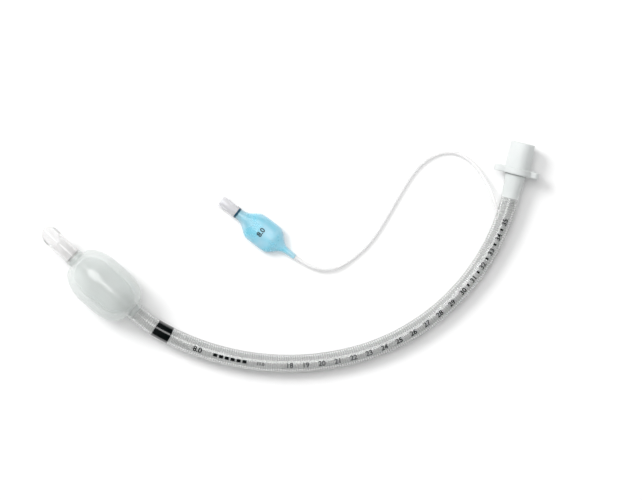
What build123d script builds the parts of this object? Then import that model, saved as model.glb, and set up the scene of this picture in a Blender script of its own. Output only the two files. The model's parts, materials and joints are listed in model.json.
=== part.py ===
"""Cuffed, wire-reinforced endotracheal tube, 8.0 mm bore, lying on a table as it comes to rest.

The breathing tube is drawn flat in its own plane, bevelled tip at the left and 15 mm connector at the
right. Then it is tilted until cuff, belly and connector flange all touch the table, which is z = 0.
The thin inflation line leaves the tube near the connector and runs over the table to the pilot
balloon with its one-way valve. Millimetres, +Z up, origin under the middle of the tube.
"""

import os
from math import cos, degrees, pi, radians, sin, tan

from build123d import *

os.makedirs("parts", exist_ok=True)

# Breathing tube
bore_d = 8.0
tube_d = 11.0
start_x, start_y = -135.2, 0.35  # joint of tip and reinforced shaft, in the tube's plane
start_heading = -41.83  # degrees from +X
cuff_run = 53.9  # straight stretch under the cuff
bend_radii = [84.6, 164.0, 133.7]
bend_turns = [13.55, 41.8, 63.2]  # degrees, all to the left
end_run = 14.2  # straight stretch, flared over the connector's stem

# Soft tip
tip_length = 25.0
tip_bend_radius = 290.0
bevel_angle = 38.0  # between the bevel and the tube's axis
tip_rounding = 0.45

# Wire spiral, held inside the tube's wall
wire_d = 0.45
wire_inner_d = 8.7
wire_tip_gap = 0.6  # plain wall left before the wire starts
wire_mouth_gap = 1.6  # plain wall left in the last bend
wire_clearance = 0.02

# Inflation channel in the wall, and the socket that the inflation line sits in
channel_d = 0.5
channel_offset = 5.13  # from the tube's axis, on the inside of the bend
channel_start = 27.0  # from the joint, in the middle of the cuff
line_exit = 10.6  # along the last bend, back from its end
line_slant = 36.0  # between the line and the tube's axis
line_seat = 1.2  # from the tube's surface to the socket's floor
line_socket_length = 2.6
line_socket_wall = 0.55

# Cuff
cuff_start = 3.9  # from the joint
cuff_length = 46.0
cuff_d = 33.0
cuff_dome = 18.0  # length of each rounded end
cuff_wall = 0.4
cuff_collar = 3.0
cuff_collar_wall = 0.35

# Connector with a 15 mm male cone
cone_mouth_d = 15.2
cone_taper = 1 / 40  # on the diameter
cone_length = 16.0
flange_thickness = 4.0
flange_disc_d = 19.0
flange_span = 28.0
flange_wing = 10.0
flange_wing_rounding = 3.0
flange_neck_rounding = 2.0
flange_rounding = 0.8
stem_length = 13.6
stem_tip_d = 8.8
stem_root_d = 10.0
stem_bore_d = 7.6
socket_bore_d = 12.4
socket_bore_depth = 14.0
socket_funnel = 3.0
connector_rounding = 0.5

# Inflation line
line_d = 2.3
line_bore_d = 1.0
line_gap = 0.05  # under the line where it lies on the surface
line_lead = 8.5  # straight out of its socket
tail_lead = 10.5  # straight into the balloon's tail

# Pilot balloon, a welded pillow with a tail for the line and a neck for the valve
pilot_tail_x, pilot_tail_y = 2.5, -0.6
pilot_heading = 142.4
pilot_width = 18.6
pilot_thickness = 9.0
pilot_wall = 0.5
tail_length = 9.5
shoulder_run = 8.5  # from the tail to the full width
full_run = 14.0
neck_taper = 9.5
neck_length = 4.5
tail_wall = 0.6
tail_grip = 5.0  # how deep the line sits in the tail
neck_wall = 0.6

# Valve
barb_d = 5.4
barb_length = 8.0
valve_collar_d = 7.4
valve_collar = 1.6
valve_body_d = 6.6
valve_reach = 12.0  # from the neck to the open end
luer_mouth_d = 4.3
luer_taper = 0.06
luer_depth = 7.6
lug_span = 7.8
lug_length = 1.4
lug_width = 3.2
barb_chamfer = 0.5
chamber_d = 3.4
chamber_floor = 0.7
vent_d = 1.3
throat_d = 2.0
throat_length = 1.6

# Valve stem, seal and spring
stem_clearance = 0.3
stem_head_reach = 2.4  # how far the stem stands into the inlet
disc_d = 2.7
disc_thickness = 0.8
seal_thickness = 0.5
seal_clearance = 0.02
stem_travel = 1.5
spring_wire_d = 0.28
spring_turns = 5
spring_d = 2.2

settling_rounds = 6
tube_r = tube_d / 2
bore_r = bore_d / 2
tube_wall = tube_r - bore_r
line_r = line_d / 2


def heading(angle):
    """Unit vector at this angle in the flat plane."""
    return Vector(cos(radians(angle)), sin(radians(angle)), 0)


# Centreline of the tube in its own plane, from the joint to the flange
joint = Vector(start_x, start_y, 0)
forward = heading(start_heading)
cuff_line = Edge.make_line(joint, joint + forward * cuff_run)
bends = []
angle = start_heading
corner = cuff_line @ 1
for bend_radius, bend_turn in zip(bend_radii, bend_turns):
    bends.append(JernArc(corner, heading(angle), bend_radius, bend_turn))
    angle += bend_turn
    corner = bends[-1] @ 1
bend_end = corner
mouthward = heading(angle)
flange_seat = bend_end + mouthward * end_run
across = Vector(0, 0, 1)
end_plane = Plane(bend_end, x_dir=mouthward, z_dir=across)
tip_turn = degrees(tip_length / tip_bend_radius)
tip_line = JernArc(joint, forward * -1, tip_bend_radius, -tip_turn)
shaft_path = Wire([cuff_line] + [bend.edge() for bend in bends])

section = Plane(joint, x_dir=heading(start_heading + 90), z_dir=forward)

# Where the inflation line leaves the last bend, on its inner side
exit_share = 1 - line_exit / bends[-1].length
exit_axis = bends[-1] @ exit_share
exit_forward = bends[-1] % exit_share
exit_side = Vector(-exit_forward.Y, exit_forward.X, 0)
line_out = (
    exit_forward * cos(radians(line_slant)) + exit_side * sin(radians(line_slant))
)
exit_wall = exit_axis + exit_side * tube_r
line_start = exit_wall + line_out * line_seat

# The wire's room in the wall, and the wire as a closed sleeve of the spiral's inner and outer diameter
wire_first = cuff_line.trim(wire_tip_gap / cuff_run, 1)
wire_last = bends[-1].edge().trim(0, 1 - wire_mouth_gap / bends[-1].length)
wire_path = Wire([wire_first] + [bend.edge() for bend in bends[:-1]] + [wire_last])
wire_section = Plane(wire_first @ 0, x_dir=section.x_dir, z_dir=forward)
with BuildPart() as wire_room:
    with BuildSketch(wire_section):
        Circle(wire_inner_d / 2 + wire_d)
        Circle(wire_inner_d / 2, mode=Mode.SUBTRACT)
    sweep(path=wire_path)
with BuildPart() as wire_spiral:
    with BuildSketch(wire_section):
        Circle(wire_inner_d / 2 + wire_d - wire_clearance)
        Circle(wire_inner_d / 2 + wire_clearance, mode=Mode.SUBTRACT)
    sweep(path=wire_path)

# Inflation channel from the cuff to the line's socket
channel_first = cuff_line.trim(channel_start / cuff_run, 1)
channel_last = bends[-1].edge().trim(0, exit_share)
channel_path = Wire([channel_first] + [bend.edge() for bend in bends[:-1]] + [channel_last])
with BuildPart() as channel:
    with BuildSketch(Plane(channel_first @ 0, x_dir=section.x_dir, z_dir=forward)):
        with Locations((channel_offset, 0)):
            Circle(channel_d / 2)
    sweep(path=channel_path)
    cuff_vent = channel_first @ 0 + section.x_dir * channel_offset
    with BuildSketch(Plane(cuff_vent, x_dir=across, z_dir=section.x_dir)):
        Circle(channel_d / 2)
    extrude(amount=tube_r)
    channel_end = exit_axis + exit_side * channel_offset
    with BuildSketch(Plane(channel_end, x_dir=across, z_dir=line_out)):
        Circle(channel_d / 2)
    extrude(amount=line_seat + tube_r - channel_offset + channel_d)

# Reinforced shaft: swept tube, flared end, line socket, and the hollows inside
with BuildPart() as reinforced_shaft:
    with BuildSketch(section):
        Circle(tube_r)
    sweep(path=shaft_path)
    with BuildSketch(end_plane):
        with BuildLine():
            Polyline(
                (0, 0),
                (0, tube_r),
                (end_run, stem_root_d / 2 + tube_wall),
                (end_run, 0),
                close=True,
            )
        make_face()
    revolve(axis=Axis(bend_end, mouthward))
    socket_root = exit_wall - line_out * line_seat
    with BuildSketch(Plane(socket_root, x_dir=across, z_dir=line_out)):
        Circle(line_r + line_socket_wall)
    extrude(amount=2 * line_seat + line_socket_length)
    with BuildSketch(section):
        Circle(bore_r)
    sweep(path=shaft_path, mode=Mode.SUBTRACT)
    with BuildSketch(end_plane):
        with BuildLine():
            Polyline(
                (0, 0),
                (0, bore_r),
                (end_run - stem_length, stem_tip_d / 2),
                (end_run, stem_root_d / 2),
                (end_run, 0),
                close=True,
            )
        make_face()
    revolve(axis=Axis(bend_end, mouthward), mode=Mode.SUBTRACT)
    with BuildSketch(Plane(line_start, x_dir=across, z_dir=line_out)):
        Circle(line_r)
    extrude(amount=line_seat + line_socket_length, mode=Mode.SUBTRACT)
    add(wire_room.part, mode=Mode.SUBTRACT)
    add(channel.part, mode=Mode.SUBTRACT)

# Soft tip: the bevel faces up, and its rim is rounded
tip_end = tip_line @ 1
tip_outward = tip_line % 1
with BuildPart() as soft_tip:
    with BuildSketch(Plane(joint, x_dir=section.x_dir, z_dir=forward * -1)):
        Circle(tube_r)
        Circle(bore_r, mode=Mode.SUBTRACT)
    sweep(path=tip_line)
    bevel_low = tip_end - across * tube_r
    bevel_normal = tip_outward * sin(radians(bevel_angle)) + across * cos(radians(bevel_angle))
    bevel_plane = Plane(bevel_low, x_dir=tip_outward.cross(across), z_dir=bevel_normal)
    split(bisect_by=bevel_plane, keep=Keep.BOTTOM)
    rim = soft_tip.faces().sort_by(Axis(bevel_low, bevel_normal))[-1]
    fillet(rim.edges(), tip_rounding)

# Cuff: thin blown balloon with a collar bonded to the shaft at each end
cuff_r = cuff_d / 2
collar_r = tube_r + cuff_collar_wall
cuff_origin = joint + forward * cuff_start
cuff_plane = Plane(cuff_origin, x_dir=forward, z_dir=Vector(0, 0, 1))
second_dome = cuff_length - cuff_dome
with BuildPart() as cuff:
    with BuildSketch(cuff_plane):
        with BuildLine():
            dome_rise = cuff_r - collar_r
            last = EllipticalCenterArc((second_dome, collar_r), cuff_dome, dome_rise, 0)
            first = EllipticalCenterArc((cuff_dome, collar_r), cuff_dome, dome_rise, 90)
            Line(last @ 1, first @ 0)
            Polyline(
                first @ 1,
                (-cuff_collar, collar_r),
                (-cuff_collar, tube_r),
                (cuff_length + cuff_collar, tube_r),
                (cuff_length + cuff_collar, collar_r),
                last @ 0,
            )
        make_face()
        with BuildLine():
            dome_inside = cuff_dome - cuff_wall
            rise_inside = cuff_r - cuff_wall - collar_r
            last = EllipticalCenterArc((second_dome, collar_r), dome_inside, rise_inside, 0)
            first = EllipticalCenterArc((cuff_dome, collar_r), dome_inside, rise_inside, 90)
            Line(last @ 1, first @ 0)
            Polyline(
                first @ 1,
                (cuff_wall, tube_r),
                (cuff_length - cuff_wall, tube_r),
                last @ 0,
            )
        make_face(mode=Mode.SUBTRACT)
    revolve(axis=Axis(cuff_origin, forward))

# Connector: cone, winged flange and the stem that the shaft is pushed over
mouth_at = flange_thickness + cone_length
cone_root_d = cone_mouth_d + cone_taper * cone_length
flange_plane = Plane(flange_seat, x_dir=heading(angle - 90), z_dir=mouthward)
profile_plane = Plane(flange_seat, x_dir=mouthward, z_dir=across)
mouth_axis = Axis(flange_seat, mouthward)
with BuildPart() as connector:
    with BuildSketch(flange_plane) as flange:
        Circle(flange_disc_d / 2)
        Rectangle(flange_span, flange_wing)
        wing_ends = flange.vertices().group_by(SortBy.DISTANCE)[-1]
        fillet(flange.vertices() - wing_ends, flange_neck_rounding)
        fillet(flange.vertices().group_by(SortBy.DISTANCE)[-1], flange_wing_rounding)
    extrude(amount=flange_thickness)
    flange_edges = connector.edges().group_by(mouth_axis)
    fillet(flange_edges[0] + flange_edges[-1], flange_rounding)
    with BuildSketch(profile_plane):
        with BuildLine():
            Polyline(
                (-stem_length, 0),
                (-stem_length, stem_tip_d / 2),
                (0, stem_root_d / 2),
                (flange_thickness, stem_root_d / 2),
                (flange_thickness, cone_root_d / 2),
                (mouth_at, cone_mouth_d / 2),
                (mouth_at, 0),
                close=True,
            )
        make_face()
    revolve(axis=mouth_axis)
    with BuildSketch(profile_plane):
        with BuildLine():
            Polyline(
                (-stem_length, 0),
                (-stem_length, stem_bore_d / 2),
                (mouth_at - socket_bore_depth - socket_funnel, stem_bore_d / 2),
                (mouth_at - socket_bore_depth, socket_bore_d / 2),
                (mouth_at, socket_bore_d / 2),
                (mouth_at, 0),
                close=True,
            )
        make_face()
    revolve(axis=mouth_axis, mode=Mode.SUBTRACT)
    chamfer(connector.edges().group_by(mouth_axis)[-1], connector_rounding)

# The tube rests on its cuff, its belly and its flange: tilt its plane until all three touch z = 0
cuff_middle = cuff_origin + forward * cuff_length / 2
belly_centre = bends[1].center_point
rise = [cuff_r, tube_r, flange_disc_d / 2]
downhill = heading(-90)
for _ in range(settling_rounds):
    spots = [
        cuff_middle + across * rise[0],
        belly_centre + downhill * bend_radii[1] + across * rise[1],
        flange_seat + across * rise[2],
    ]
    normal = (spots[1] - spots[0]).cross(spots[2] - spots[0]).normalized()
    downhill = Vector(normal.X, normal.Y, 0).normalized()
    height = spots[0].dot(normal) / normal.Z
    tilted = Plane((0, 0, height), x_dir=(normal.Z, 0, -normal.X), z_dir=normal)
    resting = [cuff.part, reinforced_shaft.part, connector.part]
    lowest = [piece.moved(tilted.location).bounding_box().min.Z for piece in resting]
    rise = [high - low for high, low in zip(rise, lowest)]
for piece in (soft_tip, reinforced_shaft, wire_spiral, cuff, connector):
    piece.part = piece.part.moved(tilted.location)

# Inflation line: out of its socket, down to the table, round a wide bend and up into the balloon's tail
pilot_axis = heading(pilot_heading)
pilot_side = heading(pilot_heading - 90)
pilot_tail = Vector(pilot_tail_x, pilot_tail_y, pilot_thickness / 2)
route_start = tilted.from_local_coords(line_start)
route_out = tilted.from_local_coords(line_start + line_out) - route_start
line_rest = line_r + line_gap
route = [
    route_start,
    route_start + route_out * line_lead,
    Vector(121.3, 46.5, 6.6),
    Vector(113.5, 58.8, 3.4),
    Vector(101.5, 66.0, 1.6),
    Vector(88.2, 63.2, line_rest),
    Vector(77.3, 54.2, line_rest),
    Vector(68.5, 40.2, line_rest),
    Vector(60.5, 26.0, line_rest),
    Vector(51.0, 10.5, line_rest),
    Vector(40.2, -0.2, line_rest + 0.1),
    Vector(26.8, -8.6, 2.6),
    pilot_tail - pilot_axis * tail_lead,
    pilot_tail + pilot_axis * tail_grip,
]
radii = []
for before, here, after in zip(route, route[1:], route[2:]):
    turn = radians((here - before).get_angle(after - here))
    shorter = min((here - before).length, (after - here).length)
    radii.append(0.45 * shorter / tan(turn / 2))
print("line radii", [round(radius, 1) for radius in radii])
with BuildLine() as line_path:
    FilletPolyline(*route, radius=radii)
with BuildPart() as inflation_line:
    with BuildSketch(Plane(route_start, z_dir=route_out)):
        Circle(line_r)
        Circle(line_bore_d / 2, mode=Mode.SUBTRACT)
    sweep(path=line_path.wire())
section_area = pi * (line_r**2 - (line_bore_d / 2) ** 2)
line_length = line_path.wire().length
print("line length", round(line_length, 1), "volume", round(inflation_line.part.volume, 1))
print("section times length", round(section_area * line_length, 1))


# Pilot balloon: tail, flat pillow and neck, hollow all through
def pilot_plane(along):
    """Cross-section of the balloon or the valve, this far from the end of the tail."""
    return Plane(pilot_tail + pilot_axis * along, x_dir=pilot_side, z_dir=pilot_axis)


tail_r = line_r + tail_wall
neck_r = barb_d / 2 + neck_wall
full_start = tail_length + shoulder_run
full_end = full_start + full_run
neck_start = full_end + neck_taper
neck_end = neck_start + neck_length
with BuildPart() as pilot_balloon:
    for along, half_width, half_height in (
        (0, tail_r, tail_r),
        (tail_length, tail_r, tail_r),
        (full_start, pilot_width / 2, pilot_thickness / 2),
        (full_end, pilot_width / 2, pilot_thickness / 2),
        (neck_start, neck_r, neck_r),
        (neck_end, neck_r, neck_r),
    ):
        with BuildSketch(pilot_plane(along)):
            Ellipse(half_width, half_height)
    loft(ruled=True)
    for along, half_width, half_height in (
        (tail_length, line_bore_d / 2, line_bore_d / 2),
        (full_start, pilot_width / 2 - pilot_wall, pilot_thickness / 2 - pilot_wall),
        (full_end, pilot_width / 2 - pilot_wall, pilot_thickness / 2 - pilot_wall),
        (neck_start, barb_d / 2, barb_d / 2),
        (neck_end, barb_d / 2, barb_d / 2),
    ):
        with BuildSketch(pilot_plane(along)):
            Ellipse(half_width, half_height)
    loft(ruled=True, mode=Mode.SUBTRACT)
    with BuildSketch(pilot_plane(0)):
        Circle(line_r)
    extrude(amount=tail_grip, mode=Mode.SUBTRACT)
    with BuildSketch(pilot_plane(tail_grip)):
        Circle(line_bore_d / 2)
    extrude(amount=tail_length - tail_grip, mode=Mode.SUBTRACT)

# Valve: barb in the balloon's neck, spring chamber, throat and a conical inlet with two lugs
valve_origin = pilot_tail + pilot_axis * neck_end
valve_profile = Plane(valve_origin, x_dir=pilot_axis, z_dir=(0, 0, 1))
valve_axis = Axis(valve_origin, pilot_axis)
luer_floor_d = luer_mouth_d - luer_taper * luer_depth
throat_top = valve_reach - luer_depth
chamber_top = throat_top - throat_length
chamber_bottom = chamber_floor - barb_length
with BuildPart() as valve_body:
    with BuildSketch(valve_profile):
        with BuildLine():
            Polyline(
                (-barb_length, 0),
                (-barb_length, barb_d / 2 - barb_chamfer),
                (-barb_length + barb_chamfer, barb_d / 2),
                (0, barb_d / 2),
                (0, valve_collar_d / 2),
                (valve_collar, valve_collar_d / 2),
                (valve_collar, valve_body_d / 2),
                (valve_reach, valve_body_d / 2),
                (valve_reach, 0),
                close=True,
            )
        make_face()
    revolve(axis=valve_axis)
    with BuildSketch(pilot_plane(neck_end + valve_reach)):
        Rectangle(lug_span, lug_width)
    extrude(amount=-lug_length)
    with BuildSketch(valve_profile):
        with BuildLine():
            Polyline(
                (-barb_length, 0),
                (-barb_length, vent_d / 2),
                (chamber_bottom, vent_d / 2),
                (chamber_bottom, chamber_d / 2),
                (chamber_top, chamber_d / 2),
                (chamber_top, throat_d / 2),
                (throat_top, throat_d / 2),
                (throat_top, luer_floor_d / 2),
                (valve_reach, luer_mouth_d / 2),
                (valve_reach, 0),
                close=True,
            )
        make_face()
    revolve(axis=valve_axis, mode=Mode.SUBTRACT)

# Stem, pushed in by a syringe's tip, with its seal against the throat and its spring below
seal_top = chamber_top - seal_clearance
disc_top = seal_top - seal_thickness
disc_bottom = disc_top - disc_thickness
stem_r = throat_d / 2 - stem_clearance
pin_r = spring_d / 2 - spring_wire_d / 2 - stem_clearance
pin_end = chamber_bottom + stem_travel + stem_clearance
with BuildPart() as valve_stem:
    with BuildSketch(valve_profile):
        with BuildLine():
            Polyline(
                (pin_end, 0),
                (pin_end, pin_r),
                (disc_bottom, pin_r),
                (disc_bottom, disc_d / 2),
                (disc_top, disc_d / 2),
                (disc_top, stem_r),
                (throat_top + stem_head_reach, stem_r),
                (throat_top + stem_head_reach, 0),
                close=True,
            )
        make_face()
    revolve(axis=valve_axis)
with BuildPart() as valve_seal:
    with BuildSketch(pilot_plane(neck_end + disc_top)):
        Circle(disc_d / 2)
        Circle(stem_r, mode=Mode.SUBTRACT)
    extrude(amount=seal_thickness)
spring_margin = spring_wire_d / 2 + seal_clearance
spring_height = disc_bottom - chamber_bottom - 2 * spring_margin
spring_plane = pilot_plane(neck_end + chamber_bottom + spring_margin)
coil = Helix(spring_height / spring_turns, spring_height, spring_d / 2)
coil = coil.moved(spring_plane.location)
with BuildPart() as valve_spring:
    with BuildSketch(Plane(coil @ 0, z_dir=coil % 0)):
        Circle(spring_wire_d / 2)
    sweep(path=coil, is_frenet=True)

pieces = {
    "soft_tip": soft_tip,
    "reinforced_shaft": reinforced_shaft,
    "wire_spiral": wire_spiral,
    "cuff": cuff,
    "connector": connector,
    "inflation_line": inflation_line,
    "pilot_balloon": pilot_balloon,
    "valve_body": valve_body,
    "valve_stem": valve_stem,
    "valve_seal": valve_seal,
    "valve_spring": valve_spring,
}
for name, piece in pieces.items():
    piece.part.label = name
    export_step(piece.part, f"parts/{name}.step")

resting_box = Compound([piece.part for name, piece in list(pieces.items())[:5]]).bounding_box()
mouth_centre = tilted.from_local_coords(flange_seat + mouthward * mouth_at)
mouth_side = tilted.from_local_coords(flange_seat + mouthward * mouth_at + across * mouth_at)
mouth_out = (mouth_centre - tilted.from_local_coords(flange_seat)) / mouth_at
print("resting box", resting_box.min, resting_box.max, "centre", resting_box.center())
print("lowest points", [round(low, 4) for low in lowest])
print("line leaves the tube at", tilted.from_local_coords(exit_wall), "along", route_out)
print("connector mouth", mouth_centre, "axis", mouth_out, "across", (mouth_side - mouth_centre) / mouth_at)
print("valve mouth", valve_origin + pilot_axis * valve_reach, "axis", pilot_axis)
print("tip opening", tilted.from_local_coords(tip_line @ 0.7))
print("shaft's first point", tilted.from_local_coords(joint))
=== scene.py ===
# %% [markdown]
# # A reinforced endotracheal tube on a white table
# The object is a curved breathing tube with a steel spiral in its wall. It has a soft bevelled tip, a
# blown cuff, a 15 mm connector, and a thin inflation line that ends in a blue pilot balloon with a valve.
# The solid model sets every size and place. This lesson dresses it: clear and milky plastics, the wound
# wire, thin films, and the marks printed along the tube. All lengths in Blender are metres, so sizes
# are written in millimetres and multiplied by mm.

# %% Load the solid model as a fixed frame
import json
import math

import bpy
import bmesh
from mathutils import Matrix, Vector
from mathutils.bvhtree import BVHTree


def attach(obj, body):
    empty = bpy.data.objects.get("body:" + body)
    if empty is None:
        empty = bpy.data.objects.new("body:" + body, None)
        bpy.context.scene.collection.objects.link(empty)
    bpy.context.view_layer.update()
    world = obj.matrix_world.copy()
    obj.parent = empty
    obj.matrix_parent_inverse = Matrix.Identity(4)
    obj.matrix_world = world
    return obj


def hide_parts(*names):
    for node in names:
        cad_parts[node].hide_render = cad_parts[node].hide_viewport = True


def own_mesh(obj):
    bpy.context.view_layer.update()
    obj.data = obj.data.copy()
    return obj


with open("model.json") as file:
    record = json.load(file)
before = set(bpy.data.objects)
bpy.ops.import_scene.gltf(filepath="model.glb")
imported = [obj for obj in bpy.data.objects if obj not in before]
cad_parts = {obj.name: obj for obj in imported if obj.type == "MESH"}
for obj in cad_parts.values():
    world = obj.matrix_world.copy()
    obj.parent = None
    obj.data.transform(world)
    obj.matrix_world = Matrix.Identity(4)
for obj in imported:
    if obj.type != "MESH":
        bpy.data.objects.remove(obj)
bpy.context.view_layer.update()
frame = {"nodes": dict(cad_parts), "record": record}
nodes = frame["nodes"]
mm = 0.001

# %% [markdown]
# ## The camera
# The photograph looks straight down on the table with a long lens. Its width of view is known from the
# connector's standard cone, at the height where the tube's widest outline lies, so the lens follows from
# that width and the camera's distance.

# %% Camera straight above the tube
camera_height = 1.8
outline_height = 0.008
view_centre = Vector((0.0186, 0.0040, 0.0))
view_width = 0.3988
sensor_width = 36.0

camera_data = bpy.data.cameras.new("camera")
camera_data.sensor_width = sensor_width
camera_data.lens = sensor_width * (camera_height - outline_height) / view_width
camera = bpy.data.objects.new("camera", camera_data)
camera.location = view_centre + Vector((0, 0, camera_height))
bpy.context.scene.collection.objects.link(camera)
bpy.context.scene.camera = camera
print("lens", round(camera_data.lens, 1), "mm")

# %% [markdown]
# ## The tube's plane and centreline
# The whole breathing tube lies in one plane, tilted a few degrees because it rests on its fat cuff. Two
# mounts at the connector's mouth span that plane's upright, so it can be read from the frame. In the
# plane, the centreline is a straight run, three bends and a short straight end. One function gives the
# place and directions at any distance along it, and everything that follows the tube asks that function.

# %% Centreline from the joint of tip and shaft
mounts = {mount["name"]: mount for mount in frame["record"]["mounts"]}
mouth = Vector(mounts["connector_cone"]["pos_m"])
plane_up = (Vector(mounts["connector_mouth"]["pos_m"]) - mouth).normalized()
plane_right = Vector((plane_up.z, 0, -plane_up.x)).normalized()
plane_away = plane_up.cross(plane_right)
plane_origin = Vector((0, 0, mouth.dot(plane_up) / plane_up.z))

tube_r = 5.5 * mm
bore_r = 4.0 * mm
joint_at = (-135.2 * mm, 0.35 * mm)
joint_heading = math.radians(-41.83)
tip_length = 25.0 * mm
tip_bend_radius = 290.0 * mm
runs = [
    (53.9 * mm, None),
    (math.radians(13.55) * 84.6 * mm, 84.6 * mm),
    (math.radians(41.8) * 164.0 * mm, 164.0 * mm),
    (math.radians(63.2) * 133.7 * mm, 133.7 * mm),
    (14.2 * mm, None),
]
flange_and_cone = 20 * mm
shaft_length = sum(length for length, radius in runs)
flare_start = shaft_length - runs[-1][0]


def walk(x, y, turn, length, radius):
    """Moves along a straight run or a left bend and returns the new place and heading."""
    if radius is None:
        return x + length * math.cos(turn), y + length * math.sin(turn), turn
    after = turn + length / radius
    x += radius * (math.sin(after) - math.sin(turn))
    y -= radius * (math.cos(after) - math.cos(turn))
    return x, y, after


def station(along):
    """Centre, forward, inner side and upright of the tube, this far from the joint."""
    x, y, turn = *joint_at, joint_heading
    if along < 0:
        x, y, turn = walk(x, y, turn, along, tip_bend_radius)
    else:
        left = along
        for length, radius in runs:
            step = min(left, length)
            x, y, turn = walk(x, y, turn, step, radius)
            left -= step
        x, y, turn = walk(x, y, turn, left, None)
    centre = plane_origin + plane_right * x + plane_away * y
    forward = plane_right * math.cos(turn) + plane_away * math.sin(turn)
    return centre, forward, plane_up.cross(forward), plane_up


def around(along, angle, radius):
    """A point on the tube: 0 degrees is the inner side of the bend and 90 the top."""
    centre, _, side, up = station(along)
    turn = math.radians(angle)
    return centre + (side * math.cos(turn) + up * math.sin(turn)) * radius


miss = (station(shaft_length + flange_and_cone)[0] - mouth).length
print("shaft", round(shaft_length / mm, 1), "mm; mouth missed by", round(miss / mm, 3), "mm")

# %% [markdown]
# ## Small helpers for meshes and materials
# Most pieces here are skins over rings of points: a tube, a balloon and a cuff are all rings joined one
# to the next. One helper joins the rings and another makes the mesh. A third turns the faces of a closed
# wall outwards, because clear materials need to know which side is the air.


# %% Mesh helpers
def add_mesh(name, points, faces, material, smooth=True):
    """Makes a mesh object from points and faces and gives it a material."""
    mesh = bpy.data.meshes.new(name)
    mesh.from_pydata([tuple(point) for point in points], [], faces)
    mesh.validate()
    piece = bpy.data.objects.new(name, mesh)
    bpy.context.scene.collection.objects.link(piece)
    mesh.materials.append(material)
    for polygon in mesh.polygons:
        polygon.use_smooth = smooth
    return piece


def ring_skin(rings, loop=False):
    """Joins rings of equally many points; loop also joins the last ring to the first."""
    count = len(rings[0])
    points = [point for ring in rings for point in ring]
    faces = []
    last = len(rings) if loop else len(rings) - 1
    for row in range(last):
        here = row * count
        there = (row + 1) % len(rings) * count
        for column in range(count):
            after = (column + 1) % count
            faces.append((here + column, here + after, there + after, there + column))
    return points, faces


def face_outwards(piece):
    """Turns every face of a closed shell to point out of its wall."""
    work = bmesh.new()
    work.from_mesh(piece.data)
    bmesh.ops.remove_doubles(work, verts=work.verts, dist=1e-7)
    bmesh.ops.recalc_face_normals(work, faces=work.faces)
    work.to_mesh(piece.data)
    work.free()


# %% [markdown]
# ## One recipe for the plastics
# No moulded plastic is one flat colour, so the recipe blends two close colours in a slow noise and adds
# a faint uneven surface. Each finish then sets the rest on the shader by name: how much light passes, how
# it bends, and the clear coat that gives wet-looking vinyl its second, sharper shine.


# %% Material helper
def plastic(name, colour, second, scale, roughness, bump, **sockets):
    """A moulded plastic: two close colours in a slow noise, and a faint uneven surface."""
    material = bpy.data.materials.new(name)
    material.use_nodes = True
    tree = material.node_tree
    shader = tree.nodes["Principled BSDF"]
    place = tree.nodes.new("ShaderNodeTexCoord")
    noise = tree.nodes.new("ShaderNodeTexNoise")
    noise.inputs["Scale"].default_value = scale
    noise.inputs["Detail"].default_value = 3
    tree.links.new(place.outputs["Object"], noise.inputs["Vector"])
    blend = tree.nodes.new("ShaderNodeValToRGB")
    blend.color_ramp.elements[0].position = 0.35
    blend.color_ramp.elements[0].color = (*colour, 1)
    blend.color_ramp.elements[1].position = 0.65
    blend.color_ramp.elements[1].color = (*second, 1)
    tree.links.new(noise.outputs["Fac"], blend.inputs["Fac"])
    tree.links.new(blend.outputs["Color"], shader.inputs["Base Color"])
    fine = tree.nodes.new("ShaderNodeTexNoise")
    fine.inputs["Scale"].default_value = scale * 12
    tree.links.new(place.outputs["Object"], fine.inputs["Vector"])
    relief = tree.nodes.new("ShaderNodeBump")
    relief.inputs["Strength"].default_value = bump
    relief.inputs["Distance"].default_value = 0.05 * mm
    tree.links.new(fine.outputs["Fac"], relief.inputs["Height"])
    tree.links.new(relief.outputs["Normal"], shader.inputs["Normal"])
    shader.inputs["Roughness"].default_value = roughness
    for socket, value in sockets.items():
        shader.inputs[socket.replace("_", " ")].default_value = value
    return material


# %% [markdown]
# ## The inflation line
# The thin clear line leaves the tube through a small socket near the connector, arches over the table
# and comes up into the balloon's tail. It is one soft length, so it is one smooth NURBS spline with a
# round bevel. Its control points are the solid line's own route.

# %% Inflation line as one spline
line_d = 2.3 * mm
line_exit = 10.6 * mm
line_slant = math.radians(36.0)
line_seat = 1.2 * mm
line_lead = 8.5 * mm
tail_lead = 10.5 * mm
pilot_tail = Vector((2.5, -0.6, 4.5)) * mm
pilot_turn = math.radians(142.4)
pilot_axis = Vector((math.cos(pilot_turn), math.sin(pilot_turn), 0))
tail_grip = 5.0 * mm

exit_centre, exit_forward, exit_side, _ = station(flare_start - line_exit)
exit_wall = exit_centre + exit_side * tube_r
line_out = exit_forward * math.cos(line_slant) + exit_side * math.sin(line_slant)
route = [exit_wall + line_out * line_seat]
route.append(route[0] + line_out * line_lead)
for x, y, z in (
    (121.3, 46.5, 6.6),
    (113.5, 58.8, 3.4),
    (101.5, 66.0, 1.6),
    (88.2, 63.2, 1.2),
    (77.3, 54.2, 1.2),
    (68.5, 40.2, 1.2),
    (60.5, 26.0, 1.2),
    (51.0, 10.5, 1.2),
    (40.2, -0.2, 1.3),
    (26.8, -8.6, 2.6),
):
    route.append(Vector((x, y, z)) * mm)
route.append(pilot_tail - pilot_axis * tail_lead)
route.append(pilot_tail + pilot_axis * tail_grip)

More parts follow.
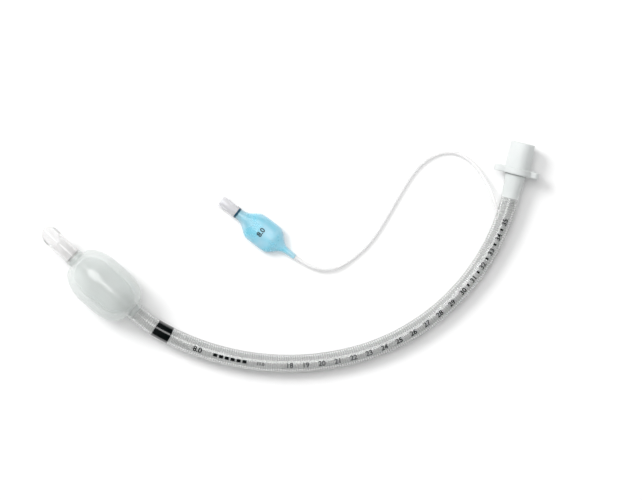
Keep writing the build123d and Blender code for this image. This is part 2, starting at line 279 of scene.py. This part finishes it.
line_curve = bpy.data.curves.new("inflation_line_soft", "CURVE")
line_curve.dimensions = "3D"
line_curve.resolution_u = 10
line_curve.bevel_depth = line_d / 2
line_curve.bevel_resolution = 4
line_curve.use_fill_caps = True
spline = line_curve.splines.new("NURBS")
spline.points.add(len(route) - 1)
for point, place in zip(spline.points, route):
    point.co = (*place, 1)
spline.order_u = 3
spline.use_endpoint_u = True
inflation_line = bpy.data.objects.new("inflation_line_soft", line_curve)
bpy.context.scene.collection.objects.link(inflation_line)
line_vinyl = plastic(
    "line_vinyl", (0.99, 0.985, 0.985), (0.96, 0.96, 0.96), 40, 0.18, 0.05,
    Alpha=0.5, Coat_Weight=1.0, Coat_Roughness=0.1,
)
line_curve.materials.append(line_vinyl)
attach(inflation_line, "tube")
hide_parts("inflation_line")
print("line from", tuple(round(value / mm, 1) for value in route[0]), "mm")

# %% [markdown]
# ## The wall of the shaft
# The wall is clear soft vinyl, 1.5 mm thick, with the wire inside it. The solid has rooms cut for its
# sleeve, which would bend the light as air does, so a plain wall takes its place here: outer skin, bore
# and two flat ends, flared at the machine end where it is pushed over the connector's stem. That end
# holds no wire and looks milky, so its faces get a material of their own.

# %% Clear wall with its flared end
wall_rings = 260
wall_sides = 48
flare_r = 6.5 * mm
stem_tip_r = 4.4 * mm
stem_root_r = 5.0 * mm
stem_length = 13.6 * mm
stem_start = shaft_length - stem_length
bond = 0.05 * mm
milky_margin = 0.5 * mm
milky_reach = 30 * mm


def wall_radii(along):
    """Outer and inner radius of the shaft, this far from the joint."""
    spread = max(0.0, (along - flare_start) / (shaft_length - flare_start))
    outer = tube_r + (flare_r - tube_r) * spread
    if along <= flare_start:
        return outer, bore_r
    if along <= stem_start:
        share = (along - flare_start) / (stem_start - flare_start)
        return outer, bore_r + (stem_tip_r - bond - bore_r) * share
    share = (along - stem_start) / (shaft_length - stem_start)
    return outer, stem_tip_r - bond + (stem_root_r - stem_tip_r) * share


def tube_ring(along, radius, sides):
    """One round ring of the tube."""
    return [around(along, 360 * side / sides, radius) for side in range(sides)]


stops = [shaft_length * step / wall_rings for step in range(wall_rings + 1)]
outer_rings = [tube_ring(stop, wall_radii(stop)[0], wall_sides) for stop in stops]
inner_rings = [tube_ring(stop, wall_radii(stop)[1], wall_sides) for stop in reversed(stops)]
clear_wall = plastic(
    "clear_wall", (0.99, 0.995, 0.99), (0.93, 0.945, 0.938), 330, 0.1, 0.05,
    Transmission_Weight=0.8, IOR=1.25, Coat_Weight=1.0, Coat_Roughness=0.08,
)
milky_end = plastic(
    "milky_end", (0.955, 0.985, 0.975), (0.935, 0.972, 0.962), 25, 0.2, 0.04,
    Transmission_Weight=0.35, IOR=1.45,
)
points, faces = ring_skin(outer_rings + inner_rings, loop=True)
shaft_wall = add_mesh("shaft_wall", points, faces, clear_wall)
shaft_wall.data.materials.append(milky_end)
face_outwards(shaft_wall)
milky_from, milky_forward, _, _ = station(flare_start - milky_margin)
for polygon in shaft_wall.data.polygons:
    away_from_gate = polygon.center - milky_from
    ahead = away_from_gate.dot(milky_forward)
    if 0 < ahead < milky_reach and away_from_gate.length < milky_reach:
        polygon.material_index = 1
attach(shaft_wall, "tube")
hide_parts("reinforced_shaft")
print("wall", len(shaft_wall.data.polygons), "faces")

# %% [markdown]
# ## The wire spiral
# A steel wire is wound in the wall at a close, even pitch, so the tube bends without kinking. It is a
# rule and not a drawing: turn, step, repeat. Geometry Nodes fit that well. The tree takes the centreline
# as a chain of edges, resamples it, pushes each point out along a turning radius and gives the path a
# round section.


# %% Node tree that winds a wire about a line
def socket(tree, name, kind, value=None):
    """Adds a named input to a node tree."""
    item = tree.interface.new_socket(name=name, in_out="INPUT", socket_type=kind)
    if value is not None:
        item.default_value = value
    return item.identifier


def math_node(tree, operation, first, second=None):
    """Adds a scalar sum, product or the like, from outputs or plain numbers."""
    node = tree.nodes.new("ShaderNodeMath")
    node.operation = operation
    for index, value in enumerate((first, second)):
        if value is None:
            continue
        if isinstance(value, (int, float)):
            node.inputs[index].default_value = value
        else:
            tree.links.new(value, node.inputs[index])
    return node.outputs[0]


def winding_tree():
    """Winds a wire of a given pitch, radius and thickness about a chain of edges."""
    tree = bpy.data.node_groups.new("wind_wire", "GeometryNodeTree")
    names = {"Geometry": socket(tree, "Geometry", "NodeSocketGeometry")}
    tree.interface.new_socket(name="Geometry", in_out="OUTPUT", socket_type="NodeSocketGeometry")
    for name, value in (("Pitch", 1.2 * mm), ("Coil radius", 4.5 * mm), ("Wire radius", 0.2 * mm)):
        names[name] = socket(tree, name, "NodeSocketFloat", value)
    for name, value in (("Steps per turn", 20), ("Wire sides", 6)):
        names[name] = socket(tree, name, "NodeSocketInt", value)
    names["Material"] = socket(tree, "Material", "NodeSocketMaterial")
    given = tree.nodes.new("NodeGroupInput")
    made = tree.nodes.new("NodeGroupOutput")
    to_curve = tree.nodes.new("GeometryNodeMeshToCurve")
    tree.links.new(given.outputs["Geometry"], to_curve.inputs["Mesh"])
    length = tree.nodes.new("GeometryNodeCurveLength")
    tree.links.new(to_curve.outputs["Curve"], length.inputs["Curve"])
    turns = math_node(tree, "DIVIDE", length.outputs["Length"], given.outputs["Pitch"])
    steps = math_node(tree, "MULTIPLY", turns, given.outputs["Steps per turn"])
    resample = tree.nodes.new("GeometryNodeResampleCurve")
    tree.links.new(to_curve.outputs["Curve"], resample.inputs["Curve"])
    tree.links.new(steps, resample.inputs["Count"])
    along = tree.nodes.new("GeometryNodeSplineParameter")
    share = math_node(tree, "DIVIDE", along.outputs["Length"], given.outputs["Pitch"])
    angle = math_node(tree, "MULTIPLY", share, 2 * math.pi)
    tangent = tree.nodes.new("GeometryNodeInputTangent")
    normal = tree.nodes.new("GeometryNodeInputNormal")
    cross = tree.nodes.new("ShaderNodeVectorMath")
    cross.operation = "CROSS_PRODUCT"
    tree.links.new(tangent.outputs[0], cross.inputs[0])
    tree.links.new(normal.outputs[0], cross.inputs[1])
    reach = []
    for direction, wave in ((normal.outputs[0], "COSINE"), (cross.outputs[0], "SINE")):
        size = math_node(tree, "MULTIPLY", math_node(tree, wave, angle), given.outputs["Coil radius"])
        scaled = tree.nodes.new("ShaderNodeVectorMath")
        scaled.operation = "SCALE"
        tree.links.new(direction, scaled.inputs[0])
        tree.links.new(size, scaled.inputs["Scale"])
        reach.append(scaled.outputs[0])
    total = tree.nodes.new("ShaderNodeVectorMath")
    tree.links.new(reach[0], total.inputs[0])
    tree.links.new(reach[1], total.inputs[1])
    push = tree.nodes.new("GeometryNodeSetPosition")
    tree.links.new(resample.outputs["Curve"], push.inputs["Geometry"])
    tree.links.new(total.outputs[0], push.inputs["Offset"])
    section = tree.nodes.new("GeometryNodeCurvePrimitiveCircle")
    tree.links.new(given.outputs["Wire sides"], section.inputs["Resolution"])
    tree.links.new(given.outputs["Wire radius"], section.inputs["Radius"])
    skin = tree.nodes.new("GeometryNodeCurveToMesh")
    skin.inputs["Fill Caps"].default_value = True
    tree.links.new(push.outputs["Geometry"], skin.inputs["Curve"])
    tree.links.new(section.outputs["Curve"], skin.inputs["Profile Curve"])
    real = tree.nodes.new("GeometryNodeRealizeInstances")
    tree.links.new(skin.outputs["Mesh"], real.inputs["Geometry"])
    paint = tree.nodes.new("GeometryNodeSetMaterial")
    tree.links.new(real.outputs["Geometry"], paint.inputs["Geometry"])
    tree.links.new(given.outputs["Material"], paint.inputs["Material"])
    tree.links.new(paint.outputs["Geometry"], made.inputs["Geometry"])
    return tree, names


def grown(name, chain, tree, names, values):
    """Runs a node tree on a chain of points and returns the result as a plain mesh object."""
    mesh = bpy.data.meshes.new(name)
    edges = [(index, index + 1) for index in range(len(chain) - 1)]
    mesh.from_pydata([tuple(point) for point in chain], edges, [])
    seed = bpy.data.objects.new(name, mesh)
    bpy.context.scene.collection.objects.link(seed)
    modifier = seed.modifiers.new("nodes", "NODES")
    modifier.node_group = tree
    for key, value in values.items():
        modifier[names[key]] = value
    ready = seed.evaluated_get(bpy.context.evaluated_depsgraph_get())
    plain = bpy.data.meshes.new_from_object(ready)
    seed.modifiers.remove(modifier)
    seed.data = plain
    for polygon in plain.polygons:
        polygon.use_smooth = True
    return seed


# %% [markdown]
# ## Winding the wire
# The chain of edges follows the centreline from the tip's joint to just short of the flare. The tree
# winds the wire about it at one pitch, with a radius that keeps it inside the wall.

# %% Wind the wire from the tip's joint to just short of the flare
wire_d = 0.45 * mm
wire_pitch = 1.45 * mm
wire_tip_gap = 0.6 * mm
wire_mouth_gap = 1.6 * mm
wire_inner_r = 4.35 * mm
coil_r = wire_inner_r + wire_d / 2

steel = plastic(
    "wire_steel", (0.60, 0.60, 0.59), (0.70, 0.70, 0.69), 60, 0.38, 0.1, Metallic=1.0
)
wire_start = wire_tip_gap
wire_end = flare_start - wire_mouth_gap
chain_steps = 400
chain = []
for step in range(chain_steps + 1):
    chain.append(station(wire_start + (wire_end - wire_start) * step / chain_steps)[0])
wind, wind_names = winding_tree()
wire_sizes = {
    "Coil radius": coil_r,
    "Wire radius": wire_d / 2,
    "Steps per turn": 20,
    "Wire sides": 6,
    "Material": steel,
}
wire = grown("wound_wire", chain, wind, wind_names, {"Pitch": wire_pitch, **wire_sizes})
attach(wire, "tube")
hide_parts("wire_spiral")
print("wire", len(wire.data.polygons), "faces,", round((wire_end - wire_start) / wire_pitch), "turns")

# %% [markdown]
# ## The closed end of the winding
# A wound spring starts with a few turns side by side, so that no loose end can cut the wall. The same
# tree makes them, with a pitch of little more than the wire's thickness. They are the dark collar that
# shows at the tip's joint.

# %% Close turns at the tip's joint
close_pitch = 0.48 * mm
close_turns = 3
close_steps = 16
close_shift = 0.9 * mm
close_inset = 0.02 * mm
close_chain = []
for step in range(close_steps + 1):
    place = wire_start - close_turns * close_pitch * (1 - step / close_steps) + close_shift
    close_chain.append(station(place)[0])
close_wire = grown(
    "close_turns", close_chain, wind, wind_names,
    {"Pitch": close_pitch, **wire_sizes, "Coil radius": coil_r - close_inset},
)
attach(close_wire, "tube")

# %% [markdown]
# ## Materials of the pieces that keep their solid shape
# Tip, connector and valve are mouldings whose solid shape is already right. Each gets its own finish:
# clear vinyl for the tip, a slightly green clear plastic for the connector, and a bluish clear one for
# the valve with its dark seal and bright spring.


# %% Finish the solid pieces
def dress(node, material):
    """Gives a solid node one material."""
    mesh = nodes[node].data
    mesh.materials.clear()
    mesh.materials.append(material)


tip_vinyl = plastic(
    "tip_vinyl", (0.99, 0.985, 0.985), (0.965, 0.96, 0.96), 60, 0.12, 0.05,
    Transmission_Weight=0.8, IOR=1.18, Coat_Weight=1.0, Coat_Roughness=0.12,
)
connector_plastic = plastic(
    "connector_plastic", (0.925, 0.95, 0.943), (0.90, 0.932, 0.924), 50, 0.36, 0.04,
    Transmission_Weight=0.3, IOR=1.45,
)
valve_plastic = plastic(
    "valve_plastic", (0.99, 0.985, 0.998), (0.965, 0.965, 0.99), 120, 0.25, 0.04,
    Transmission_Weight=0.6, IOR=1.3, Coat_Weight=0.6, Coat_Roughness=0.2,
)
stem_plastic = plastic("stem_plastic", (0.86, 0.88, 0.92), (0.82, 0.84, 0.90), 150, 0.35, 0.05)
seal_rubber = plastic("seal_rubber", (0.03, 0.06, 0.16), (0.04, 0.08, 0.20), 200, 0.6, 0.2)
spring_steel = plastic(
    "spring_steel", (0.70, 0.71, 0.72), (0.62, 0.63, 0.64), 200, 0.25, 0.1, Metallic=1.0
)
dress("soft_tip", tip_vinyl)
dress("connector", connector_plastic)
dress("valve_body", valve_plastic)
dress("valve_stem", stem_plastic)
dress("valve_seal", seal_rubber)

# %% [markdown]
# ## The cuff
# The cuff is a blown balloon, as thin as a freezer bag, bonded to the shaft by a collar at each end. It
# is not a perfect solid of turning: it sits a little to one side, and close to its collars the film is
# gathered into small pleats. Rings of points with a changing radius give all of that. A second, inner
# skin closes the film.

# %% Blown cuff with pleats at its collars
cuff_start = 3.9 * mm
cuff_length = 46.0 * mm
cuff_r = 16.5 * mm
cuff_dome = 18.0 * mm
collar_r = 5.85 * mm
collar_length = 3.0 * mm
film = 0.12 * mm
cuff_offset = 0.7 * mm
cuff_sides = 144
cuff_rows = 64
pleats = 16
pleat_depth = 0.18 * mm
pleat_fade = 1.6
pleat_gain = 4
collar_gap = 0.02 * mm


def cuff_profile(share):
    """Distance along the cuff and its radius, for a share from one collar to the other."""
    along = cuff_length * (1 - math.cos(math.pi * share)) / 2
    edge = min(along, cuff_length - along)
    if edge >= cuff_dome:
        return along, cuff_r
    lift = math.sqrt(max(0.0, 1 - ((cuff_dome - edge) / cuff_dome) ** 2))
    return along, collar_r + (cuff_r - collar_r) * lift


def cuff_ring(share, inset):
    """One ring of the cuff's skin, set in by the film's thickness."""
    along, radius = cuff_profile(share)
    fullness = (radius - collar_r) / (cuff_r - collar_r)
    pull = fullness * max(0.0, 1 - pleat_fade * fullness) * pleat_gain
    ring = []
    for side in range(cuff_sides):
        angle = 2 * math.pi * side / cuff_sides
        pleat = pleat_depth * pull * math.sin(pleats * angle + 3 * math.sin(2 * angle))
        shift = -cuff_offset * fullness * math.cos(angle)
        reach = max(radius + pleat + shift - inset, collar_r - inset)
        ring.append(around(cuff_start + along, math.degrees(angle), reach))
    return ring


def collar_rings(first, last, inset):
    """Two rings of a collar, from one end to the other."""
    return [
        [around(stop, 360 * side / cuff_sides, collar_r - inset) for side in range(cuff_sides)]
        for stop in (first, last)
    ]


cuff_rings = {}
for inset in (0, film):
    rings = collar_rings(cuff_start - collar_length, cuff_start - collar_gap, inset)
    rings += [cuff_ring(row / cuff_rows, inset) for row in range(cuff_rows + 1)]
    cuff_end = cuff_start + cuff_length
    rings += collar_rings(cuff_end + collar_gap, cuff_end + collar_length, inset)
    cuff_rings[inset] = rings
cuff_film = plastic(
    "cuff_film", (0.94, 0.99, 0.97), (0.91, 0.965, 0.94), 60, 0.16, 0.05,
    Alpha=0.31, Coat_Weight=1.0, Coat_Roughness=0.16, Coat_IOR=2.0,
)
points, faces = ring_skin(cuff_rings[0] + cuff_rings[film][::-1], loop=True)
blown_cuff = add_mesh("blown_cuff", points, faces, cuff_film)
face_outwards(blown_cuff)
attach(blown_cuff, "tube")
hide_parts("cuff")
print("cuff", len(blown_cuff.data.polygons), "faces")

# %% [markdown]
# ## The pilot balloon
# The balloon is a short piece of blue vinyl tube, welded at both ends, so it is flat at its tail and
# neck and full in the middle, with straight flanks. Its sections go from round to a wide oval and back.
# Each section is a superellipse, because a filled flat bag is squarer than an ellipse. A stop gives the
# distance from the tail, half the width, half the height and the power, in millimetres.

# %% Pillow of the pilot balloon
pilot_side = Vector((pilot_axis.y, -pilot_axis.x, 0))
balloon_stops = [
    (0.0, 1.75, 1.75, 2.0),
    (4.0, 1.8, 1.75, 2.0),
    (8.0, 2.0, 1.8, 2.0),
    (10.0, 2.7, 2.0, 2.0),
    (12.5, 5.0, 2.7, 2.1),
    (15.0, 7.6, 3.6, 2.2),
    (16.8, 8.9, 4.2, 2.2),
    (18.5, 9.25, 4.4, 2.2),
    (25.0, 9.3, 4.5, 2.2),
    (31.5, 9.3, 4.45, 2.2),
    (33.4, 8.9, 4.3, 2.2),
    (36.5, 6.4, 4.0, 2.1),
    (39.5, 4.4, 3.7, 2.0),
    (41.5, 3.6, 3.4, 2.0),
    (43.0, 3.35, 3.3, 2.0),
    (46.0, 3.3, 3.3, 2.0),
]
balloon_wall = 0.25
balloon_sides = 64
tail_grip_end = 8
neck_grip_start = 41
neck_grip_r = 2.7


def balloon_ring(along, wide, high, power):
    """One section of the balloon, given in millimetres."""
    ring = []
    for side in range(balloon_sides):
        angle = 2 * math.pi * side / balloon_sides
        across = math.copysign(abs(math.cos(angle)) ** (2 / power), math.cos(angle))
        upward = math.copysign(abs(math.sin(angle)) ** (2 / power), math.sin(angle))
        ring.append(
            pilot_tail
            + pilot_axis * along * mm
            + pilot_side * wide * across * mm
            + Vector((0, 0, high * upward * mm))
        )
    return ring


balloon_rings = [balloon_ring(*stop) for stop in balloon_stops]
for along, wide, high, power in reversed(balloon_stops):
    inner = (wide - balloon_wall, high - balloon_wall)
    if along <= tail_grip_end:
        inner = (line_d / 2 / mm, line_d / 2 / mm)
    if along >= neck_grip_start:
        inner = (neck_grip_r, neck_grip_r)
    balloon_rings.append(balloon_ring(along, *inner, power))
blue_film = plastic(
    "blue_film", (0.22, 0.81, 1.0), (0.60, 0.87, 1.0), 85, 0.3, 0.06,
    Alpha=0.34, Coat_Weight=1.0, Coat_Roughness=0.2, Coat_IOR=1.7,
)
points, faces = ring_skin(balloon_rings, loop=True)
balloon = add_mesh("balloon_pillow", points, faces, blue_film)
face_outwards(balloon)
smoothing = balloon.modifiers.new("smooth", "SUBSURF")
smoothing.levels = 1
smoothing.render_levels = 1
smooth_balloon = balloon.evaluated_get(bpy.context.evaluated_depsgraph_get())
balloon_skin = BVHTree.FromObject(smooth_balloon, bpy.context.evaluated_depsgraph_get())
balloon.data = bpy.data.meshes.new_from_object(smooth_balloon)
balloon.modifiers.remove(smoothing)
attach(balloon, "tube")
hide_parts("pilot_balloon")
print("balloon", len(balloon.data.polygons), "faces")

# %% [markdown]
# ## The ring at the balloon's neck
# The neck is welded over the valve's barb. Where the barb ends inside the neck, the light bends away
# and the blue looks dark there: a slim ring of deep blue is painted shade for that darkness.

# %% Painted shade at the neck
# Painted shade: a deep blue ring where the barb ends inside the neck, standing in for its dark
# refraction.
neck_shade_stops = [(44.6, 3.32), (44.9, 3.5), (45.4, 3.56), (45.9, 3.5), (46.1, 3.32), (45.4, 3.2)]
deep_blue = plastic("deep_blue", (0.015, 0.07, 0.12), (0.03, 0.11, 0.17), 200, 0.2, 0.05)
neck_shade_rings = [balloon_ring(along, reach, reach, 2.0) for along, reach in neck_shade_stops]
points, faces = ring_skin(neck_shade_rings, loop=True)
neck_painted_shade = add_mesh("neck_painted_shade", points, faces, deep_blue)
face_outwards(neck_painted_shade)
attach(neck_painted_shade, "tube")

# %% [markdown]
# ## The valve's spring
# A syringe's tip pushes the valve's stem in against a small steel spring. The solid spring is rigid, so a
# wound one takes its place, from the same winding tree, between the solid spring's two ends.

# %% Wind the spring in place of the solid one
spring_wire_d = 0.28 * mm
spring_coil_d = 2.2 * mm
spring_turns = 5

spring_reach = [vert.co.dot(pilot_axis) for vert in nodes["valve_spring"].data.vertices]
spring_low = min(spring_reach)
spring_high = max(spring_reach)
coil_low = spring_low + spring_wire_d / 2
coil_high = spring_high - spring_wire_d / 2
spring_steps = 20
spring_chain = []
for step in range(spring_steps + 1):
    share = step / spring_steps
    reach = coil_low + (coil_high - coil_low) * share - pilot_tail.dot(pilot_axis)
    spring_chain.append(pilot_tail + pilot_axis * reach)
spring_sizes = {
    "Pitch": (spring_high - spring_low - spring_wire_d) / spring_turns,
    "Coil radius": spring_coil_d / 2,
    "Wire radius": spring_wire_d / 2,
    "Steps per turn": 24,
    "Wire sides": 8,
    "Material": spring_steel,
}
wound_spring = grown("wound_spring", spring_chain, wind, wind_names, spring_sizes)
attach(wound_spring, "tube")
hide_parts("valve_spring")
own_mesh(wound_spring)
spring_faces = len(wound_spring.data.polygons)
print("spring", round((spring_high - spring_low) / mm, 2), "mm high,", spring_faces, "faces")

# %% [markdown]
# ## Numbers as thin sheets of ink
# Print is a very thin layer of ink. Each number is a text object made into a mesh. Its letters are cut
# into narrow strips, so that they can bend over a round surface without sinking in, and every point is
# then laid on that surface by a rule of its own.


# %% Flat words and bars, and laying them on a surface
capital_share = 0.7
ink_spread = 0.035
word_strips = 8
bar_strips = 6


def words_mesh(words, height):
    """A flat mesh of some words, centred on the origin, with this letter height."""
    curve = bpy.data.curves.new("words", "FONT")
    curve.body = words
    curve.size = height / capital_share
    curve.offset = ink_spread * height
    curve.align_x = "CENTER"
    seed = bpy.data.objects.new("words", curve)
    bpy.context.scene.collection.objects.link(seed)
    bpy.context.view_layer.update()
    flat = bpy.data.meshes.new_from_object(seed.evaluated_get(bpy.context.evaluated_depsgraph_get()))
    bpy.data.objects.remove(seed)
    work = bmesh.new()
    work.from_mesh(flat)
    bmesh.ops.translate(work, verts=work.verts, vec=(0, -height / 2, 0))
    for cut in range(1, word_strips):
        level = height * (cut / word_strips - 0.5)
        everything = work.verts[:] + work.edges[:] + work.faces[:]
        bmesh.ops.bisect_plane(work, geom=everything, plane_co=(0, level, 0), plane_no=(0, 1, 0))
    return work


def bar_mesh(length, height):
    """A flat bar of the same make as the words."""
    work = bmesh.new()
    rows = []
    for row in range(bar_strips + 1):
        level = height * (row / bar_strips - 0.5)
        rows.append([work.verts.new((side * length / 2, level, 0)) for side in (-1, 1)])
    for low, high in zip(rows, rows[1:]):
        work.faces.new((low[0], low[1], high[1], high[0]))
    return work


def gather(works, name, lay, material):
    """Lays flat meshes on a surface and joins them to one object."""
    points = []
    faces = []
    for work, offset in works:
        first = len(points)
        work.verts.index_update()
        points += [lay(offset + vert.co.x, vert.co.y) for vert in work.verts]
        for face in work.faces:
            faces.append([first + vert.index for vert in face.verts])
        work.free()
    return add_mesh(name, points, faces, material, smooth=False)


# %% [markdown]
# ## The size on the pilot balloon
# The balloon repeats the tube's bore, so that it can be read when the tube is in place. The number runs
# across the balloon, and each of its points drops onto the film from above. The ink on the tube has a
# shiny coat, but on the balloon that coat would wash the number out, so its ink is dull.

# %% Number dropped onto the balloon
ink = plastic(
    "black_ink", (0.003, 0.005, 0.005), (0.008, 0.010, 0.010), 80, 0.14, 0.03,
    Coat_Weight=1.0, Coat_Roughness=0.08,
)
dull_ink = plastic("dull_ink", (0.004, 0.006, 0.008), (0.010, 0.012, 0.014), 300, 0.6, 0.03)
ink_lift = 0.04 * mm
balloon_number = (26.4 * mm, -0.6 * mm)
balloon_number_height = 3.2 * mm
drop_height = 20 * mm


def on_balloon(across, upward):
    """A point of the print on the balloon's upper side; its up runs towards the valve."""
    place = pilot_tail + pilot_axis * (balloon_number[0] + upward)
    place = place + pilot_side * (balloon_number[1] + across)
    hit = balloon_skin.ray_cast(place + Vector((0, 0, drop_height)), Vector((0, 0, -1)))[0]
    return hit + Vector((0, 0, ink_lift))


balloon_works = [(words_mesh("8.0", balloon_number_height), 0)]
balloon_print = gather(balloon_works, "balloon_print", on_balloon, dull_ink)
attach(balloon_print, "tube")

# %% [markdown]
# ## The cord
# The line carries the balloon and its valve on its far end.

# %% [markdown]
# ## Printed marks
# The tube carries a wide black ring near the cuff, its size, and depth numbers in centimetres. Ink is a
# very thin layer on the skin, so each mark is a thin sheet laid just outside the tube and bent round it.

# %% Black depth ring
band_start = 67.7 * mm
band_length = 10.75 * mm
band_rows = 16
band_sides = 64
band_foot = 0.01 * mm
rings = []
for lift in (ink_lift, band_foot):
    skin = []
    for row in range(band_rows + 1):
        place = band_start + band_length * row / band_rows
        skin.append(tube_ring(place, tube_r + lift, band_sides))
    rings += skin if lift == ink_lift else skin[::-1]
points, faces = ring_skin(rings, loop=True)
depth_ring = add_mesh("depth_ring", points, faces, ink)
face_outwards(depth_ring)
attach(depth_ring, "tube")

# %% [markdown]
# ## Numbers along the tube
# The tube's bore size stands after the ring, then a row of plain dashes and the outside diameter. The
# depth numbers follow, one for each centimetre from the tip's end, so that a reader can see how deep the
# tube sits. The lower ones are in a paler ink, and the highest have a tick between them. All of them
# bend round the tube by its radius.

# %% Size and depth numbers
print_angle = 97.0
number_height = 3.1 * mm
small_height = 2.0 * mm
bore_number_height = 3.3 * mm
bore_number_at = 97.0 * mm
first_dash_at = 108.5
dash_step = 3.7
dash_length = 2.6 * mm
dashes = 6
outside_number_at = 137.0 * mm
first_number = 18
first_black_number = 25
first_ticked_number = 31
last_number = 35
tick_length = 1.2 * mm
tick_before = 5 * mm
centimetre = 10 * mm
faded_ink = plastic("faded_ink", (0.03, 0.033, 0.033), (0.09, 0.095, 0.095), 400, 0.3, 0.05)


def on_tube(along, upward):
    """A point of the print: upward is the letters' own up, towards the bend's inner side."""
    angle = print_angle - math.degrees(upward / tube_r)
    return around(along, angle, wall_radii(along)[0] + ink_lift)


size_works = [(words_mesh("8.0", bore_number_height), bore_number_at)]
for dash in range(dashes):
    size_works.append((bar_mesh(dash_length, small_height), (first_dash_at + dash_step * dash) * mm))
depth_works = [(words_mesh("11.0", small_height), outside_number_at)]
for number in range(first_number, last_number + 1):
    place = number * centimetre - tip_length
    works = depth_works if number < first_black_number else size_works
    works.append((words_mesh(str(number), number_height), place))
    if number >= first_ticked_number:
        works.append((bar_mesh(tick_length, small_height), place - tick_before))
size_print = gather(size_works, "size_print", on_tube, ink)
depth_print = gather(depth_works, "depth_print", on_tube, faded_ink)
for piece in (size_print, depth_print):
    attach(piece, "tube")
print("print", len(size_print.data.polygons) + len(depth_print.data.polygons), "faces")

# %% [markdown]
# ## The table and the light
# The photograph has a pale line along the whole tube, whichever way it runs, so there is a broad lamp
# almost overhead. Its shadows fall to the lower right, so there is a second one at the upper left. That
# one is hidden from reflections, because its image would be a hard spot on the cuff, and so is the white
# sky, which would turn the black ring grey. A white table takes both shadows.

# %% Table, lights and world
floor_mesh = bpy.data.meshes.new("floor")
floor_half = 3.0
floor_mesh.from_pydata(
    [(-floor_half, -floor_half, 0), (floor_half, -floor_half, 0),
     (floor_half, floor_half, 0), (-floor_half, floor_half, 0)],
    [], [(0, 1, 2, 3)],
)
floor = bpy.data.objects.new("floor", floor_mesh)
bpy.context.scene.collection.objects.link(floor)
floor_white = bpy.data.materials.new("floor_white")
floor_white.use_nodes = True
floor_shader = floor_white.node_tree.nodes["Principled BSDF"]
floor_shader.inputs["Base Color"].default_value = (0.95, 0.95, 0.95, 1)
floor_shader.inputs["Roughness"].default_value = 0.9
floor_mesh.materials.append(floor_white)


lamp_distance = 4.0


def soft_lamp(name, direction, half_angle, radiance):
    """A round lamp far off that looks at the table, given by how large and how bright it looks."""
    radius = lamp_distance * math.tan(math.radians(half_angle))
    data = bpy.data.lights.new(name, "AREA")
    data.shape = "DISK"
    data.size = 2 * radius
    data.energy = radiance * math.pi * math.pi * radius**2
    light = bpy.data.objects.new(name, data)
    light.location = direction.normalized() * lamp_distance
    light.rotation_euler = (-light.location).to_track_quat("-Z", "Y").to_euler()
    bpy.context.scene.collection.objects.link(light)
    return light


soft_lamp("overhead", Vector((-0.07, 0.24, 0.97)), 19.5, 3.4)
side_lamp = soft_lamp("side", Vector((-0.56, 0.45, 0.70)), 11.0, 16.5)
side_lamp.visible_glossy = False

world = bpy.data.worlds.new("world")
bpy.context.scene.world = world
world.use_nodes = True
sky = world.node_tree.nodes["Background"]
sky.inputs["Color"].default_value = (1, 1, 1, 1)
sky.inputs["Strength"].default_value = 0.37
world.cycles_visibility.glossy = False
bpy.context.scene.view_settings.view_transform = "Standard"
